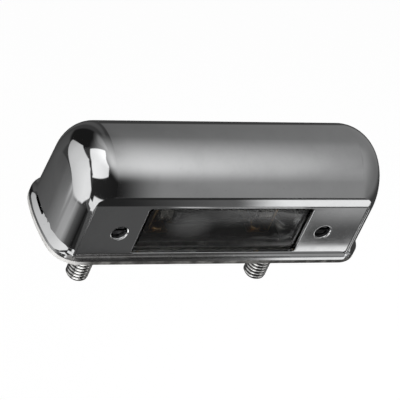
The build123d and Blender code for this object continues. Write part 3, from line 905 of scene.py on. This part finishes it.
def scrim_glow(finish):
    """Dims towards the back, and from top to bottom where the hood's rounded end mirrors it."""
    y, z = finish.axis("Y"), finish.axis("Z")
    distance = oval((y, z), middle=(0.0115, 0.0175), half=(0.276, 0.276))
    inside = 1.0 - finish.between(distance, 0.95, 1.083)
    above_foot = finish.between(z, -0.005, 0.02)
    from_front = y + 0.5
    level = 0.282 - from_front * from_front * 0.325
    beside = 1.0 - finish.between(finish.math("ABSOLUTE", y + 0.03), 0.025, 0.07)
    below_top = finish.between(z, 0.135, 0.115)
    rounded_end = (finish.between(z, 0.02, 0.11) * 0.165 - 0.075) * beside * below_top
    return inside * above_foot * (level + rounded_end)


def under_glow(finish):
    """Separate lights for the cove, the panel, the lens and the studs, which mirror the card."""
    x, y = finish.axis("X"), finish.axis("Y")
    panel_level, right_level, spot_level = 0.07, 0.3, 0.6
    pane_level, stud_level = 1.1, 1.7
    sight_x, sight_y = -0.6, -0.8
    along_cove = x + y * 0.29
    cove = finish.between(y, -0.117, -0.1156) * finish.between(y, -0.06, -0.068)
    cove_left = finish.between(along_cove, 0.01, 0.05) * 0.1
    cove_right = finish.between(along_cove, 0.05, 0.068) * 0.9
    along_panel = x + y * 0.75
    panel = finish.between(y, -0.112, -0.115)
    panel_right = finish.between(along_panel, 0.0, 0.03) * finish.between(y, -0.1225, -0.1335)
    distance = oval((along_panel, y), middle=(-0.0195, -0.1225), half=(0.008, 0.0055))
    panel_spot = 1.0 - finish.between(distance, 0.2, 1.2)
    pane = finish.between(along_panel, -0.032, 0.012)
    pane = pane * finish.between(along_panel, 0.0185, 0.0165)
    pane_rise = finish.between(y, -0.1195, -0.128)
    pane = pane * pane_rise * pane_rise * finish.between(y, -0.1292, -0.1286)
    ahead = x * sight_x + y * sight_y
    aside = y * sight_x - x * sight_y
    distance = oval((ahead, aside), middle=(0.095, 0.0), half=(0.055, 0.06))
    studs = 1.0 - finish.between(distance, 0.75, 1.0)
    level = cove * (cove_left + cove_right) + pane * pane_level + studs * stud_level
    return level + panel * (panel_level + panel_right * right_level + panel_spot * spot_level)


def clear_card(name, corners, paint):
    """A clear sheet with a glow that paint works out from a place on it."""
    finish = Finish(name)
    glow = glow_shader(finish, paint(finish))
    clear = finish.node("BsdfTransparent", {}, {})
    both = finish.node("AddShader", {}, {0: glow, 1: clear})
    put_up(name, corners, one_face, finish.end(both))


card_spots = square(card_half)
clear_card("overhead_softbox", [(x, y, overhead_height) for x, y in card_spots], overhead_glow)
clear_card("right_scrim", [(scrim_place, y, z) for y, z in card_spots], scrim_glow)
clear_card("low_card", [(x, y, under_height) for x, y in card_spots], under_glow)
corner_finish = Finish("corner_card")
corner_glow = corner_finish.node("Emission", {}, {"Color": corner_card_white})
corner_card = [(x, corner_card_place, z) for x, z in corner_card_spots]
put_up("corner_card", corner_card, one_face, corner_finish.end(corner_glow))

# Floor: a plain pale sheet well below the tent. It is white to the camera and in the chrome,
# and still takes the lamp's shadow.
floor_height = -0.4
floor_half = 6.0
floor_grey = (0.3, 0.3, 0.3)
white = (1.0, 1.0, 1.0)


def white_for_lens(finish, seen, otherwise):
    """Strength seen by the camera and in metal and glass, and another for soft light."""
    rays = finish.node("LightPath", {}, {}, "Is Camera Ray")
    for name in ("Is Glossy Ray", "Is Transmission Ray"):
        rays = finish.math("MAXIMUM", rays, finish.node("LightPath", {}, {}, name))
    return rays * (seen - otherwise) + otherwise


floor_finish = Finish("pale_floor")
floor_matt = floor_finish.node("BsdfDiffuse", {}, {"Color": floor_grey})
floor_level = white_for_lens(floor_finish, seen=0.8, otherwise=0.2)
floor_glow = floor_finish.node("Emission", {}, {"Color": white, "Strength": floor_level})
floor_both = floor_finish.node("AddShader", {}, {0: floor_matt, 1: floor_glow})
floor_corners = [(x, y, floor_height) for x, y in square(floor_half)]
put_up("floor", floor_corners, one_face, floor_finish.end(floor_both), seen=True)

# Room behind everything: an even white to the camera and in the chrome. As a source of light
# it is dim, and only softens the shadows.
room_finish = Finish("white_room", bpy.data.worlds)
room_level = white_for_lens(room_finish, seen=1.0, otherwise=0.3)
room_glow = room_finish.node("Background", {}, {"Color": white, "Strength": room_level})
bpy.context.scene.world = room_finish.end(room_glow, "OutputWorld")

# Studio lamps: two large soft panels that give the matt pieces plain light. The tent does the
# reflections, so the lamps don't show in the chrome.
lamp_places = [
    # name, place, side in metres, power in watts
    ("left_panel", (-0.5, -0.6, 0.8), 0.6, 9.0),
    ("right_panel", (0.7, -0.3, 0.5), 0.6, 5.0),
]
for name, spot, side, power in lamp_places:
    light = bpy.data.lights.new(name, "AREA")
    light.size = side
    light.energy = power
    lamp = bpy.data.objects.new(name, light)
    lamp.location = spot
    aim = tent_centre - Vector(spot)
    lamp.rotation_euler = aim.to_track_quat("-Z", "Y").to_euler()
    lamp.visible_glossy = False
    bpy.context.scene.collection.objects.link(lamp)

# Camera: a long lens, high in front of the lamp's left end and tilted as the photograph is.
# Its axes, distance and lens are the ones at which the lamp's outline fits the photograph.
camera_right = Vector((0.8851, -0.3284, 0.3299))
camera_up = Vector((0.0, 0.7087, 0.7055))
camera_back = Vector((-0.4655, -0.6244, 0.6273))
camera_aim = Vector((-0.002625, -0.003607, 0.010757))
camera_distance = 0.9
sensor_width = 36.0
lens_length = 318.4
view_lens = bpy.data.cameras.new("photo_view")
view_lens.sensor_width = sensor_width
view_lens.lens = lens_length
camera = bpy.data.objects.new("photo_view", view_lens)
camera_axes = Matrix((camera_right, camera_up, camera_back)).transposed()
camera_place = Matrix.Translation(camera_aim + camera_back * camera_distance)
camera.matrix_world = camera_place @ camera_axes.to_4x4()
bpy.context.scene.collection.objects.link(camera)
bpy.context.scene.camera = camera
bpy.context.scene.view_settings.view_transform = "Standard"
